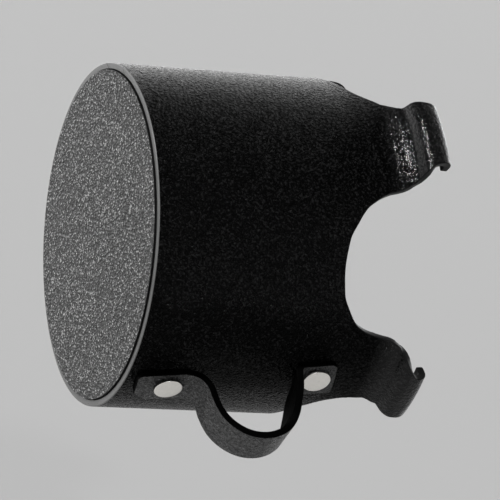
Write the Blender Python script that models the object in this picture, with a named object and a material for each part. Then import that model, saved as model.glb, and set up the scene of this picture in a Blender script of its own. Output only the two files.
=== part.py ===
"""Bucket mute: a rolled sheet shell with four spring hooks, an end disc and a riveted loop handle.

Axes: +X along the mute's axis, out of its open mouth; +Z up; the handle is low on the -Y side.
Origin: centre of the circle that the four hooks grip. The mute hangs from its hooks by its own weight, so its
axis lies SAG below that centre, and the upper hooks reach a little further out than the lower ones.
Angles round the mute's axis are measured from +Z towards -Y, in degrees. Lengths are in metres.
"""

import math

import bmesh
import bpy
from mathutils import Matrix, Vector

MM = 0.001

# sheet
SHEET = 2.4 * MM  # thickness of shell and hooks
GAP = 0.3 * MM  # clearance between neighbouring pieces

# shell
SHELL_OUTER_R = 55.6 * MM
SHELL_INNER_R = SHELL_OUTER_R - SHEET
END_X = -93.05 * MM  # closed end of the shell
CREASE_X = -12.0 * MM  # where a hook bends off the shell
FLARE_START_X = -25.0 * MM
CREASE_OUTER_R = 57.2 * MM
SCALLOP_X = -29.2 * MM  # deepest point of a scallop
SAG = 1.8 * MM  # how far the mute's axis lies below the origin
REACH = 1.2 * MM  # how much further out the upper hooks' crowns stand, and how much less the lower ones'

# end disc and what is behind it
DISC_R = 52.75 * MM
DISC_THICK = 3.0 * MM
DISC_PROUD = 0.3 * MM
HOOP_LENGTH = 4.7 * MM
LINING_THICK = 6.0 * MM
LINING_END_X = -38.0 * MM
PAD_R = 46.6 * MM
PAD_END_X = -74.0 * MM
RETAINER_INNER_R = 38.0 * MM
SEAM_ANGLE = 3.0
SEAM_STRIP_WIDTH = 16.0 * MM
SEAM_STRIP_THICK = 1.5 * MM

# handle
STRAP_WIDTH = 13.8 * MM
STRAP_THICK = 2.3 * MM
STRAP_MID_R = SHELL_OUTER_R + GAP + STRAP_THICK / 2
HANDLE_X = -54.5 * MM  # middle of the handle
HANDLE_ANGLE = 134.6
HANDLE_SLOPE = -0.143 / MM  # degrees round the shell for each metre along it
LOOP_ANGLE = 141.5
REAR_CLIP = 4.6 * MM
RIVET_OFFSET = 24.1 * MM
RIVET_BACK = 0.5 * MM  # the rivets sit a little off the middle of the strap's ends
RIVET_TURN = -0.8
RIVET_HEAD_R = 4.6 * MM
RIVET_HEAD_THICK = 0.8 * MM
RIVET_POST_R = 2.0 * MM
RIVET_HOLE_R = 2.4 * MM
WASHER_R = 5.5 * MM
BACK_CAP_R = 4.5 * MM


def material(name, colour, roughness, metallic=0.0):
    mat = bpy.data.materials.new(name)
    mat.use_nodes = True
    shader = mat.node_tree.nodes["Principled BSDF"]
    shader.inputs["Base Color"].default_value = (*colour, 1.0)
    shader.inputs["Roughness"].default_value = roughness
    shader.inputs["Metallic"].default_value = metallic
    mat.diffuse_color = (*colour, 1.0)
    return mat


def polar(x, r, degrees):
    a = math.radians(degrees)
    return Vector((x, -r * math.sin(a), r * math.cos(a) - SAG))


def smoothstep(t):
    t = min(1.0, max(0.0, t))
    return t * t * (3 - 2 * t)


def through(knots, t):
    """Monotone cubic through (t, value) knots."""
    if t <= knots[0][0]:
        return knots[0][1]
    if t >= knots[-1][0]:
        return knots[-1][1]
    xs = [k[0] for k in knots]
    ys = [k[1] for k in knots]
    slopes = [(ys[i + 1] - ys[i]) / (xs[i + 1] - xs[i]) for i in range(len(xs) - 1)]
    tangents = [slopes[0]]
    for i in range(1, len(slopes)):
        a, b = slopes[i - 1], slopes[i]
        tangents.append(0.0 if a * b <= 0 else 2 * a * b / (a + b))
    tangents.append(slopes[-1])
    i = max(j for j in range(len(xs) - 1) if xs[j] <= t)
    h = xs[i + 1] - xs[i]
    u = (t - xs[i]) / h
    return (
        (2 * u**3 - 3 * u**2 + 1) * ys[i]
        + (u**3 - 2 * u**2 + u) * h * tangents[i]
        + (-2 * u**3 + 3 * u**2) * ys[i + 1]
        + (u**3 - u**2) * h * tangents[i + 1]
    )


def arc_path(points, count):
    """Points spaced evenly along a Catmull-Rom curve through the given ones."""
    pts = [Vector(p) for p in points]
    dense = []
    for i in range(len(pts) - 1):
        p0 = pts[max(i - 1, 0)]
        p1, p2 = pts[i], pts[i + 1]
        p3 = pts[min(i + 2, len(pts) - 1)]
        for k in range(12):
            t = k / 12
            dense.append(
                0.5
                * (
                    2 * p1
                    + (p2 - p0) * t
                    + (2 * p0 - 5 * p1 + 4 * p2 - p3) * t * t
                    + (3 * p1 - p0 - 3 * p2 + p3) * t**3
                )
            )
    dense.append(pts[-1])
    along = [0.0]
    for a, b in zip(dense, dense[1:]):
        along.append(along[-1] + (b - a).length)
    out = []
    j = 0
    for k in range(count):
        s = along[-1] * k / (count - 1)
        while j < len(along) - 2 and along[j + 1] < s:
            j += 1
        f = (s - along[j]) / (along[j + 1] - along[j])
        out.append(dense[j].lerp(dense[j + 1], min(1.0, max(0.0, f))))
    return out


def finish(obj, mat, sharp=35.0):
    obj.data.materials.append(mat)
    obj.data.shade_smooth()
    obj.data.set_sharp_from_angle(angle=math.radians(sharp))
    return obj


def new_object(name, bm, origin=Vector((0, 0, 0)), parent=None):
    bmesh.ops.recalc_face_normals(bm, faces=bm.faces)
    bmesh.ops.translate(bm, verts=bm.verts, vec=-origin)
    mesh = bpy.data.meshes.new(name)
    bm.to_mesh(mesh)
    bm.free()
    obj = bpy.data.objects.new(name, mesh)
    bpy.context.scene.collection.objects.link(obj)
    if parent is None:
        obj.location = origin
    else:
        obj.parent = parent
        obj.location = origin - parent.location
    return obj


def grid_sheet(rows, wrap=False):
    """An open sheet of quads through rows of points."""
    bm = bmesh.new()
    grid = [[bm.verts.new(p) for p in row] for row in rows]
    for a, b in zip(grid, grid[1:]):
        n = len(a)
        for j in range(n if wrap else n - 1):
            bm.faces.new((a[j], a[(j + 1) % n], b[(j + 1) % n], b[j]))
    return bm


def thicken(obj, thickness):
    solid = obj.modifiers.new("thickness", "SOLIDIFY")
    solid.thickness = thickness
    solid.offset = 0.0
    solid.use_even_offset = True
    solid.use_quality_normals = True
    return solid


def cut(obj, cutter):
    boolean = obj.modifiers.new("cut " + cutter.name, "BOOLEAN")
    boolean.operation = "DIFFERENCE"
    boolean.solver = "EXACT"
    boolean.object = cutter
    return boolean


def turned(name, profile, mat, segments=96, degrees=360.0, start=0.0):
    """A ring or disc turned round the X axis from a closed (x, r) profile."""
    bm = bmesh.new()
    full = degrees >= 360.0
    count = segments if full else segments + 1
    rings = []
    for k in range(count):
        angle = start + degrees * k / segments
        rings.append([bm.verts.new(polar(x, r, angle)) for x, r in profile])
    n = len(profile)
    for k in range(segments):
        a, b = rings[k], rings[(k + 1) % count]
        for j in range(n):
            bm.faces.new((a[j], a[(j + 1) % n], b[(j + 1) % n], b[j]))
    if not full:
        bm.faces.new(rings[0])
        bm.faces.new(rings[-1])
    return finish(new_object(name, bm), mat)


def disc(name, x0, x1, radius, mat, edge=0.3 * MM, segments=96):
    """A flat disc across the axis, with a small chamfer on both edges."""
    bm = bmesh.new()
    rims = []
    for x, r in ((x0, radius - edge), (x0 + edge, radius), (x1 - edge, radius), (x1, radius - edge)):
        rims.append([bm.verts.new(polar(x, r, 360 * k / segments)) for k in range(segments)])
    for a, b in zip(rims, rims[1:]):
        for k in range(segments):
            bm.faces.new((a[k], a[(k + 1) % segments], b[(k + 1) % segments], b[k]))
    bm.faces.new(rims[0])
    bm.faces.new(rims[-1])
    return finish(new_object(name, bm), mat)


def radial_frame(x, degrees):
    """A frame at angle round the axis whose Z points outward, away from the axis."""
    outward = polar(0, 1, degrees) - polar(0, 0, degrees)
    along = Vector((1, 0, 0))
    side = outward.cross(along)
    frame = Matrix((along, side, outward)).transposed().to_4x4()
    frame.translation = polar(x, 0, degrees)
    return frame


def radial_lathe(name, profile, x, degrees, segments=32):
    """A turned solid whose own axis is a radius of the mute: profile is (distance from the mute's axis, radius)."""
    bm = bmesh.new()
    frame = radial_frame(x, degrees)
    rings = []
    for height, radius in profile:
        rings.append(
            [
                bm.verts.new(
                    frame
                    @ Vector(
                        (
                            radius * math.cos(2 * math.pi * k / segments),
                            radius * math.sin(2 * math.pi * k / segments),
                            height,
                        )
                    )
                )
                for k in range(segments)
            ]
        )
    for a, b in zip(rings, rings[1:]):
        for k in range(segments):
            bm.faces.new((a[k], a[(k + 1) % segments], b[(k + 1) % segments], b[k]))
    bm.faces.new(rings[0])
    bm.faces.new(rings[-1])
    return new_object(name, bm)


def radial_ring(name, low, high, inner, outer, x, degrees, segments=32):
    bm = bmesh.new()
    frame = radial_frame(x, degrees)
    profile = ((low, inner), (low, outer), (high, outer), (high, inner))
    rings = [
        [
            bm.verts.new(
                frame
                @ Vector(
                    (
                        radius * math.cos(2 * math.pi * k / segments),
                        radius * math.sin(2 * math.pi * k / segments),
                        height,
                    )
                )
            )
            for k in range(segments)
        ]
        for height, radius in profile
    ]
    for i in range(4):
        a, b = rings[i], rings[(i + 1) % 4]
        for k in range(segments):
            bm.faces.new((a[k], a[(k + 1) % segments], b[(k + 1) % segments], b[k]))
    return new_object(name, bm)


def cutter(name, low, high, radius, x, degrees):
    obj = radial_lathe(name, ((low, radius), (high, radius)), x, degrees, 24)
    obj.hide_render = True
    obj.display_type = "WIRE"
    return obj


def shell_mid_r(x):
    """Radius of the shell's mid surface: a straight cylinder that flares a little into the hooks."""
    t = (x - FLARE_START_X) / (CREASE_X - FLARE_START_X)
    t = max(0.0, t)
    return SHELL_OUTER_R - SHEET / 2 + (CREASE_OUTER_R - SHELL_OUTER_R) * t**2.2


# Where the shell's mouth ends, (angle, x in mm) over its near half; the far half mirrors it.
TOP_SCALLOP = ((0, -21.2), (5, -20.7), (10, -19.4), (15, -18.3), (18.5, -17.2), (22.5, -15.1), (25, -13.4), (26.8, -12))
NEAR_SCALLOP = (
    (64.6, -12),
    (65.0, -14),
    (65.8, -16),
    (67.3, -18.5),
    (70.5, -22.3),
    (75, -25.2),
    (81, -28.1),
    (90, -29.2),
    (99, -28.1),
    (105, -25.2),
    (109.5, -22.0),
    (111.8, -18.5),
    (112.6, -16),
    (113.0, -14),
    (113.3, -12),
)
BOTTOM_SCALLOP = (
    (141.0, -12),
    (142.3, -15),
    (143.5, -17.1),
    (145.4, -19.8),
    (147.5, -22.5),
    (150.5, -25.2),
    (154, -27.8),
    (159, -29.8),
    (166, -31),
    (180, -31.5),
)

# The two side edges of a hook, (x in mm, lesser angle, greater angle), from its crease to its lip.
UPPER_HOOK = (
    (-12, 26.8, 64.6),
    (-9.5, 30.2, 63.9),
    (-7.5, 33.2, 63.0),
    (-6, 34.2, 62.2),
    (-3.5, 35.2, 60.2),
    (-1, 36.0, 58.2),
    (2, 36.4, 57.5),
    (6, 36.6, 57.2),
)
LOWER_HOOK = (
    (-12, 113.3, 141.0),
    (-10.5, 113.4, 140.2),
    (-9, 113.7, 140.0),
    (-7.5, 114.4, 140.5),
    (-6, 115.4, 141.0),
    (-4.7, 116.7, 141.5),
    (-2.8, 119.2, 142.0),
    (-1, 122.0, 142.3),
    (1, 123.8, 142.4),
    (6, 124.2, 142.4),
)


def mirrored(outline):
    return tuple((x, -high, -low) for x, low, high in outline)


HOOKS = (
    ("hook_1", UPPER_HOOK, REACH),
    ("hook_2", LOWER_HOOK, -REACH),
    ("hook_3", mirrored(LOWER_HOOK), -REACH),
    ("hook_4", mirrored(UPPER_HOOK), REACH),
)
ACROSS = 9  # points across a hook


def hook_edges(outline, x):
    low = through([(k[0], k[1]) for k in outline], x / MM)
    high = through([(k[0], k[2]) for k in outline], x / MM)
    return low, high


def mouth_x(degrees):
    """Where the shell's mouth ends at this angle: at a hook's crease, or on a scallop's edge."""
    a = abs((degrees + 180) % 360 - 180)
    edge = CREASE_X - GAP / 2
    for scallop in (TOP_SCALLOP, NEAR_SCALLOP, BOTTOM_SCALLOP):
        if scallop[0][0] <= a <= scallop[-1][0]:
            edge = min(edge, through(scallop, a) * MM)
    return edge


def mouth_angles():
    """Angles of the shell's lines of points: closest together where a scallop's edge is steep."""
    half = [0, 4, 8, 12, 15, 18, 20.5, 23, 25]
    half += [UPPER_HOOK[0][1] + (UPPER_HOOK[0][2] - UPPER_HOOK[0][1]) * k / (ACROSS - 1) for k in range(ACROSS)]
    half += [65.05, 65.9, 67.2, 69, 71.5, 74.5, 78, 82, 86, 90, 94, 98, 102, 105.5, 108.5, 110.6, 111.9, 112.7]
    half += [LOWER_HOOK[0][1] + (LOWER_HOOK[0][2] - LOWER_HOOK[0][1]) * k / (ACROSS - 1) for k in range(ACROSS)]
    half += [142.2, 143.6, 145.4, 147.5, 150.2, 153.4, 157, 161, 166, 171, 175.5, 180]
    return [round(a, 4) for a in half] + [round(360 - a, 4) for a in reversed(half[1:-1])]


def build_shell(mat):
    columns = mouth_angles()
    rows = []
    for level in range(12):
        row = []
        for angle in columns:
            straight = -38.0 * MM
            if level < 4:
                x = END_X + (straight - END_X) * level / 4
            else:
                x = straight + (mouth_x(angle) - straight) * (level - 4) / 7
            row.append(polar(x, shell_mid_r(x), angle))
        rows.append(row)
    shell = new_object("shell", grid_sheet(rows, wrap=True))
    thicken(shell, SHEET)
    return finish(shell, mat)


# Mid surface of a hook in the plane through the axis, (x, r) in mm, from the crease to the lip.
HOOK_PROFILE = (
    (-11.85, 56.02),
    (-10.6, 56.42),
    (-9.3, 57.25),
    (-8.1, 58.05),
    (-6.9, 58.45),
    (-5.8, 58.8),
    (-4.9, 59.6),
    (-4.15, 60.85),
    (-3.2, 62.15),
    (-1.7, 63.0),
    (0.0, 63.15),
    (1.7, 62.95),
    (3.0, 62.1),
    (3.62, 60.8),
    (3.66, 59.3),
    (3.5, 57.5),
)


def build_hook(name, outline, reach, parent, mat):
    path = arc_path([(x * MM, r * MM, 0) for x, r in HOOK_PROFILE], 26)
    rows = []
    for p in path:
        low, high = hook_edges(outline, p.x)
        r = p.y + reach * smoothstep((p.x - CREASE_X) / (9.5 * MM))
        rows.append([polar(p.x, r, low + (high - low) * k / (ACROSS - 1)) for k in range(ACROSS)])
    hook = new_object(name, grid_sheet(rows), origin=parent.location.copy(), parent=parent)
    thicken(hook, SHEET)
    return finish(hook, mat)


# Middle of the strap's thickness: (distance along the handle from its middle, distance from the mute's axis) in mm.
STRAP_PATH = (
    (-34.9, 57.05),
    (-31.0, 57.05),
    (-24.1, 57.05),
    (-20.0, 57.05),
    (-17.15, 57.65),
    (-14.6, 59.0),
    (-12.65, 61.45),
    (-11.5, 64.05),
    (-10.1, 66.5),
    (-8.3, 68.8),
    (-5.9, 71.1),
    (-3.1, 73.3),
    (0.1, 74.85),
    (3.8, 75.5),
    (7.5, 75.2),
    (11.1, 73.85),
    (14.3, 71.4),
    (16.2, 68.3),
    (16.65, 65.0),
    (16.8, 61.7),
    (17.05, 59.3),
    (17.9, 57.6),
    (19.6, 57.05),
    (24.1, 57.05),
    (30.2, 57.05),
)


def strap_angle(along, r):
    lift = smoothstep((r - STRAP_MID_R) / (15 * MM))
    return (1 - lift) * (HANDLE_ANGLE + HANDLE_SLOPE * along) + lift * LOOP_ANGLE


def build_strap(mat):
    path = arc_path([(a * MM, r * MM, 0) for a, r in STRAP_PATH], 64)
    low, high = path[0].x, path[-1].x
    half = STRAP_WIDTH / 2
    rows = []
    for p in path:
        lift = smoothstep((p.y - STRAP_MID_R) / (6 * MM))
        near_cut = max(0.0, REAR_CLIP - (p.x - low)) * 0.95  # the near corner of the rear end is clipped off
        far_cut = max(0.0, 1.5 * MM - (p.x - low), 1.5 * MM - (high - p.x)) * 0.8
        near_cut = max(near_cut, max(0.0, 1.0 * MM - (high - p.x)) * 0.8)
        angle = strap_angle(p.x, p.y)
        tangent = math.radians(angle)
        side = Vector((0, -math.cos(tangent), -math.sin(tangent)))
        skew = math.radians(-HANDLE_SLOPE * MM * 57.05 * (1 - lift))
        across = Vector((math.sin(skew), 0, 0)) + math.cos(skew) * side
        centre = polar(HANDLE_X + p.x, p.y, angle)
        row = []
        for k in range(-3, 4):
            t = k / 3 * (half - (near_cut if k > 0 else far_cut))
            straight = centre + across * t
            bent_angle = angle + math.degrees(math.cos(skew) * t / p.y)
            bent = polar(HANDLE_X + p.x + math.sin(skew) * t, p.y, bent_angle)
            row.append(bent.lerp(straight, lift))
        rows.append(row)
    strap = new_object("handle_strap", grid_sheet(rows))
    thicken(strap, STRAP_THICK)
    return finish(strap, mat)


def build():
    black = material("black_haircell_sheet", (0.018, 0.018, 0.019), 0.42)
    grey = material("end_disc_grain", (0.10, 0.10, 0.10), 0.6)
    strap_black = material("handle_sheet", (0.03, 0.03, 0.032), 0.45)
    metal = material("rivet_nickel", (0.75, 0.74, 0.72), 0.35, 1.0)
    foam = material("lining_foam", (0.04, 0.04, 0.042), 0.95)
    batting = material("absorber_batting", (0.22, 0.22, 0.21), 1.0)
    cloth = material("facing_cloth", (0.03, 0.03, 0.03), 0.95)

    shell = build_shell(black)
    for name, outline, reach in HOOKS:
        hinge = bpy.data.objects.new(name + "_hinge", None)
        hinge.location = polar(CREASE_X, CREASE_OUTER_R, (outline[0][1] + outline[0][2]) / 2)
        bpy.context.scene.collection.objects.link(hinge)
        build_hook(name, outline, reach, hinge, black)

    disc("end_disc", END_X - DISC_PROUD, END_X - DISC_PROUD + DISC_THICK, DISC_R, grey, 0.35 * MM)
    behind_disc = END_X - DISC_PROUD + DISC_THICK + GAP
    liner_r = SHELL_INNER_R - GAP
    hoop_end = behind_disc + HOOP_LENGTH
    turned(
        "end_seat_hoop",
        ((behind_disc, liner_r), (hoop_end, liner_r), (hoop_end, liner_r - SHEET), (behind_disc, liner_r - SHEET)),
        black,
    )
    strip_half = math.degrees(SEAM_STRIP_WIDTH / 2 / liner_r)
    strip_start = hoop_end + GAP
    turned(
        "seam_strip",
        (
            (strip_start, liner_r),
            (LINING_END_X + 2 * MM, liner_r),
            (LINING_END_X + 2 * MM, liner_r - SEAM_STRIP_THICK),
            (strip_start, liner_r - SEAM_STRIP_THICK),
        ),
        black,
        segments=6,
        degrees=2 * strip_half,
        start=SEAM_ANGLE - strip_half,
    )
    free = strip_half + 1.2
    lining = turned(
        "lining_sleeve",
        (
            (strip_start, liner_r),
            (LINING_END_X, liner_r),
            (LINING_END_X, liner_r - LINING_THICK),
            (strip_start, liner_r - LINING_THICK),
        ),
        foam,
        segments=84,
        degrees=360 - 2 * free,
        start=SEAM_ANGLE + free,
    )
    disc("absorber_pad", behind_disc, PAD_END_X, PAD_R, batting, 1.0 * MM, 72)
    disc("pad_facing", PAD_END_X + GAP, PAD_END_X + GAP + 0.9 * MM, PAD_R, cloth, 0.2 * MM, 72)
    ring_x = PAD_END_X + 2 * GAP + 0.9 * MM
    turned(
        "retaining_ring",
        ((ring_x, PAD_R), (ring_x + 2 * MM, PAD_R), (ring_x + 2 * MM, RETAINER_INNER_R), (ring_x, RETAINER_INNER_R)),
        black,
        segments=72,
    )

    strap = build_strap(strap_black)
    head_low = STRAP_MID_R + STRAP_THICK / 2 + GAP
    washer_high = SHELL_INNER_R - 0.6 * MM
    washer_low = washer_high - 0.8 * MM
    cap_high = washer_low - GAP
    for place, along in (("rear", -RIVET_OFFSET), ("front", RIVET_OFFSET)):
        x = HANDLE_X + along - RIVET_BACK
        angle = HANDLE_ANGLE + HANDLE_SLOPE * along + RIVET_TURN
        rivet = radial_lathe(
            f"handle_rivet_{place}",
            (
                (washer_low, RIVET_POST_R),
                (head_low, RIVET_POST_R),
                (head_low, RIVET_HEAD_R - 0.25 * MM),
                (head_low + 0.2 * MM, RIVET_HEAD_R),
                (head_low + 0.55 * MM, RIVET_HEAD_R),
                (head_low + 0.75 * MM, RIVET_HEAD_R - 0.25 * MM),
                (head_low + RIVET_HEAD_THICK, RIVET_HEAD_R - 1.2 * MM),
            ),
            x,
            angle,
        )
        finish(rivet, metal, 50)
        finish(radial_ring(f"rivet_washer_{place}", washer_low, washer_high, RIVET_HOLE_R, WASHER_R, x, angle, 28), metal)
        cap = radial_lathe(
            f"rivet_back_cap_{place}",
            ((cap_high - 1.2 * MM, BACK_CAP_R - 0.8 * MM), (cap_high - 0.6 * MM, BACK_CAP_R), (cap_high, BACK_CAP_R)),
            x,
            angle,
            28,
        )
        finish(cap, metal, 50)
        hole = cutter(f"hole_{place}", 50 * MM, 62 * MM, RIVET_HOLE_R, x, angle)
        cut(shell, hole)
        cut(strap, hole)
        well = cutter(f"well_{place}", 44 * MM, 55 * MM, 6.6 * MM, x, angle)
        if place == "rear":
            cut(lining, well)


for old in list(bpy.data.objects):
    bpy.data.objects.remove(old, do_unlink=True)
build()
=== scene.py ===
"""Bucket mute: surfaces, materials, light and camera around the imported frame.

Axes: +X along the mute's axis, out of its mouth; +Z up; the handle is low on the -Y side.
Angles round the mute's axis are measured from +Z towards -Y, in degrees. Lengths are in metres.
"""

import math

import bmesh
import bpy
import numpy as np
from mathutils import Matrix, Vector
from mathutils.geometry import delaunay_2d_cdt


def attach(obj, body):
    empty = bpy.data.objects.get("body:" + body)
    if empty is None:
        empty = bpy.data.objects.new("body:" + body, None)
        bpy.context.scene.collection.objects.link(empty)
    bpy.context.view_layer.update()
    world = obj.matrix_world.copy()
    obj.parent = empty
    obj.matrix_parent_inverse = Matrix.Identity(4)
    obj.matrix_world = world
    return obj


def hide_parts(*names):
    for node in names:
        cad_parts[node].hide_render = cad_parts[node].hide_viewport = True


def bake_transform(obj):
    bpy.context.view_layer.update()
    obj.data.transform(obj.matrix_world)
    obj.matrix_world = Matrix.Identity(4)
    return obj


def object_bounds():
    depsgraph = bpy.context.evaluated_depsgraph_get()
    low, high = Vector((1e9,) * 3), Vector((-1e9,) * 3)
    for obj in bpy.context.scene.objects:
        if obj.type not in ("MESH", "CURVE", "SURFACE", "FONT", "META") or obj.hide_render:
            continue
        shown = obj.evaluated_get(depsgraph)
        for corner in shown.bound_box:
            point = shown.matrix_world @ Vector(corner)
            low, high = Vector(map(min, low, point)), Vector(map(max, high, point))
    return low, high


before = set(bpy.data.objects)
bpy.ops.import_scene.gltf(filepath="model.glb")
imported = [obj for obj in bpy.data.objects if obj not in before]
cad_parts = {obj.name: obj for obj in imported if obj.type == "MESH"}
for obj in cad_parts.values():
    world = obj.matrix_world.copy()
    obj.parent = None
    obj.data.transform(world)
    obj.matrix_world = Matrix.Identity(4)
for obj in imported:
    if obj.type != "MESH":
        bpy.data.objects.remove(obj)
CAD_BOX = [list(map(float, corner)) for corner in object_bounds()]

MM = 0.001

# the same sizes as the frame's
SHEET = 2.4 * MM
GAP = 0.3 * MM
SAG = 1.8 * MM
REACH = 1.2 * MM
SHELL_OUTER_R = 55.6 * MM
SHELL_INNER_R = SHELL_OUTER_R - SHEET
END_X = -93.05 * MM
CREASE_X = -12.0 * MM
FLARE_START_X = -25.0 * MM
CREASE_OUTER_R = 57.2 * MM
DISC_R = 52.75 * MM
DISC_THICK = 3.0 * MM
DISC_PROUD = 0.3 * MM
LINING_THICK = 6.0 * MM
LINING_END_X = -38.0 * MM
PAD_R = 46.6 * MM
PAD_END_X = -74.0 * MM
RETAINER_INNER_R = 38.0 * MM
SEAM_ANGLE = 3.0
SEAM_STRIP_WIDTH = 16.0 * MM
STRAP_WIDTH = 13.8 * MM
STRAP_THICK = 2.3 * MM
STRAP_MID_R = SHELL_OUTER_R + GAP + STRAP_THICK / 2
HANDLE_X = -54.5 * MM
HANDLE_ANGLE = 134.6
HANDLE_SLOPE = -0.143 / MM
LOOP_ANGLE = 141.5
REAR_CLIP = 4.6 * MM
RIVET_OFFSET = 24.1 * MM
RIVET_BACK = 0.5 * MM
RIVET_TURN = -0.8
RIVET_HEAD_R = 4.6 * MM
RIVET_HEAD_THICK = 0.8 * MM

SPLIT_X = -15.0 * MM  # where the skin of a hook takes over from the shell's
EDGE = 0.28 * MM  # rounding of the sheet's cut edges
LIP_EDGE = 0.9 * MM  # rounding of the hooks' ends
REBATE = 0.3 * MM  # how much thinner the sheet is round the end disc
RIM_X = END_X + 0.15 * MM
DISC_FACE_X = END_X - 0.5 * MM
DISC_VISIBLE_R = 53.3 * MM
SEAM_LINES = ((-8.0, -4.6), (8.6, 11.6))  # outer and inner end of the seam's two cuts across the closed end's edge

TOP_SCALLOP = ((0, -21.2), (5, -20.7), (10, -19.4), (15, -18.3), (18.5, -17.2), (22.5, -15.1), (25, -13.4), (26.8, -12))
NEAR_SCALLOP = (
    (64.6, -12), (65.0, -14), (65.8, -16), (67.3, -18.5), (70.5, -22.3), (75, -25.2), (81, -28.1), (90, -29.2),
    (99, -28.1), (105, -25.2), (109.5, -22.0), (111.8, -18.5), (112.6, -16), (113.0, -14), (113.3, -12),
)
BOTTOM_SCALLOP = (
    (141.0, -12), (142.3, -15), (143.5, -17.1), (145.4, -19.8), (147.5, -22.5), (150.5, -25.2), (154, -27.8),
    (159, -29.8), (166, -31), (180, -31.5),
)
UPPER_HOOK = (
    (-12, 26.8, 64.6), (-9.5, 30.2, 63.9), (-7.5, 33.2, 63.0), (-6, 34.2, 62.2), (-3.5, 35.2, 60.2), (-1, 36.0, 58.2),
    (2, 36.4, 57.5), (6, 36.6, 57.2),
)
LOWER_HOOK = (
    (-12, 113.3, 141.0), (-10.5, 113.4, 140.2), (-9, 113.7, 140.0), (-7.5, 114.4, 140.5), (-6, 115.4, 141.0),
    (-4.7, 116.7, 141.5), (-2.8, 119.2, 142.0), (-1, 122.0, 142.3), (1, 123.8, 142.4), (6, 124.2, 142.4),
)
HOOK_PROFILE = (
    (-11.85, 56.02), (-10.6, 56.42), (-9.3, 57.25), (-8.1, 58.05), (-6.9, 58.45), (-5.8, 58.8), (-4.9, 59.6),
    (-4.15, 60.85), (-3.2, 62.15), (-1.7, 63.0), (0.0, 63.15), (1.7, 62.95), (3.0, 62.1), (3.62, 60.8), (3.66, 59.3),
    (3.5, 57.5),
)
STRAP_PATH = (
    (-34.9, 57.05), (-31.0, 57.05), (-24.1, 57.05), (-20.0, 57.05), (-17.15, 57.65), (-14.6, 59.0), (-12.65, 61.45),
    (-11.5, 64.05), (-10.1, 66.5), (-8.3, 68.8), (-5.9, 71.1), (-3.1, 73.3), (0.1, 74.85), (3.8, 75.5),
    (7.5, 75.2), (11.1, 73.85), (14.3, 71.4), (16.2, 68.3), (16.65, 65.0), (16.8, 61.7), (17.05, 59.3),
    (17.9, 57.6), (19.6, 57.05), (24.1, 57.05), (30.2, 57.05),
)


# ---------------------------------------------------------------- geometry helpers


def polar(x, r, degrees):
    a = math.radians(degrees)
    return Vector((x, -r * math.sin(a), r * math.cos(a) - SAG))


def smoothstep(t):
    t = min(1.0, max(0.0, t))
    return t * t * (3 - 2 * t)


def through(knots, t):
    if t <= knots[0][0]:
        return knots[0][1]
    if t >= knots[-1][0]:
        return knots[-1][1]
    xs = [k[0] for k in knots]
    ys = [k[1] for k in knots]
    slopes = [(ys[i + 1] - ys[i]) / (xs[i + 1] - xs[i]) for i in range(len(xs) - 1)]
    tangents = [slopes[0]]
    for i in range(1, len(slopes)):
        a, b = slopes[i - 1], slopes[i]
        tangents.append(0.0 if a * b <= 0 else 2 * a * b / (a + b))
    tangents.append(slopes[-1])
    i = max(j for j in range(len(xs) - 1) if xs[j] <= t)
    h = xs[i + 1] - xs[i]
    u = (t - xs[i]) / h
    return (
        (2 * u**3 - 3 * u**2 + 1) * ys[i]
        + (u**3 - 2 * u**2 + u) * h * tangents[i]
        + (-2 * u**3 + 3 * u**2) * ys[i + 1]
        + (u**3 - u**2) * h * tangents[i + 1]
    )


def arc_path(points, count=None, spacing=None):
    """Points spaced evenly along a Catmull-Rom curve through the given ones."""
    pts = [Vector(p) for p in points]
    dense = []
    for i in range(len(pts) - 1):
        p0 = pts[max(i - 1, 0)]
        p1, p2 = pts[i], pts[i + 1]
        p3 = pts[min(i + 2, len(pts) - 1)]
        for k in range(12):
            t = k / 12
            dense.append(
                0.5 * (2 * p1 + (p2 - p0) * t + (2 * p0 - 5 * p1 + 4 * p2 - p3) * t * t + (3 * p1 - p0 - 3 * p2 + p3) * t**3)
            )
    dense.append(pts[-1])
    along = [0.0]
    for a, b in zip(dense, dense[1:]):
        along.append(along[-1] + (b - a).length)
    if count is None:
        count = max(2, int(round(along[-1] / spacing)) + 1)
    out = []
    j = 0
    for k in range(count):
        s = along[-1] * k / (count - 1)
        while j < len(along) - 2 and along[j + 1] < s:
            j += 1
        f = (s - along[j]) / (along[j + 1] - along[j])
        out.append(dense[j].lerp(dense[j + 1], min(1.0, max(0.0, f))))
    return out


def link(obj):
    bpy.context.scene.collection.objects.link(obj)
    return obj


def mesh_object(name, verts, faces, mat=None, sharp=38.0, recalc=False):
    mesh = bpy.data.meshes.new(name)
    mesh.from_pydata([tuple(v) for v in verts], [], faces)
    if recalc:
        bm = bmesh.new()
        bm.from_mesh(mesh)
        bmesh.ops.recalc_face_normals(bm, faces=bm.faces)
        bm.to_mesh(mesh)
        bm.free()
    mesh.validate()
    mesh.shade_smooth()
    mesh.set_sharp_from_angle(angle=math.radians(sharp))
    obj = link(bpy.data.objects.new(name, mesh))
    if mat is not None:
        mesh.materials.append(mat)
    return obj


def shell_mid_r(x):
    t = max(0.0, (x - FLARE_START_X) / (CREASE_X - FLARE_START_X))
    return SHELL_OUTER_R - SHEET / 2 + (CREASE_OUTER_R - SHELL_OUTER_R) * t**2.2


def shell_point(x, degrees, off):
    """A point off the shell's mid surface by this much along its normal."""
    h = 0.05 * MM
    slope = (shell_mid_r(x + h) - shell_mid_r(x - h)) / (2 * h)
    n = math.sqrt(1 + slope * slope)
    return polar(x - off * slope / n, shell_mid_r(x) + off / n, degrees)


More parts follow.
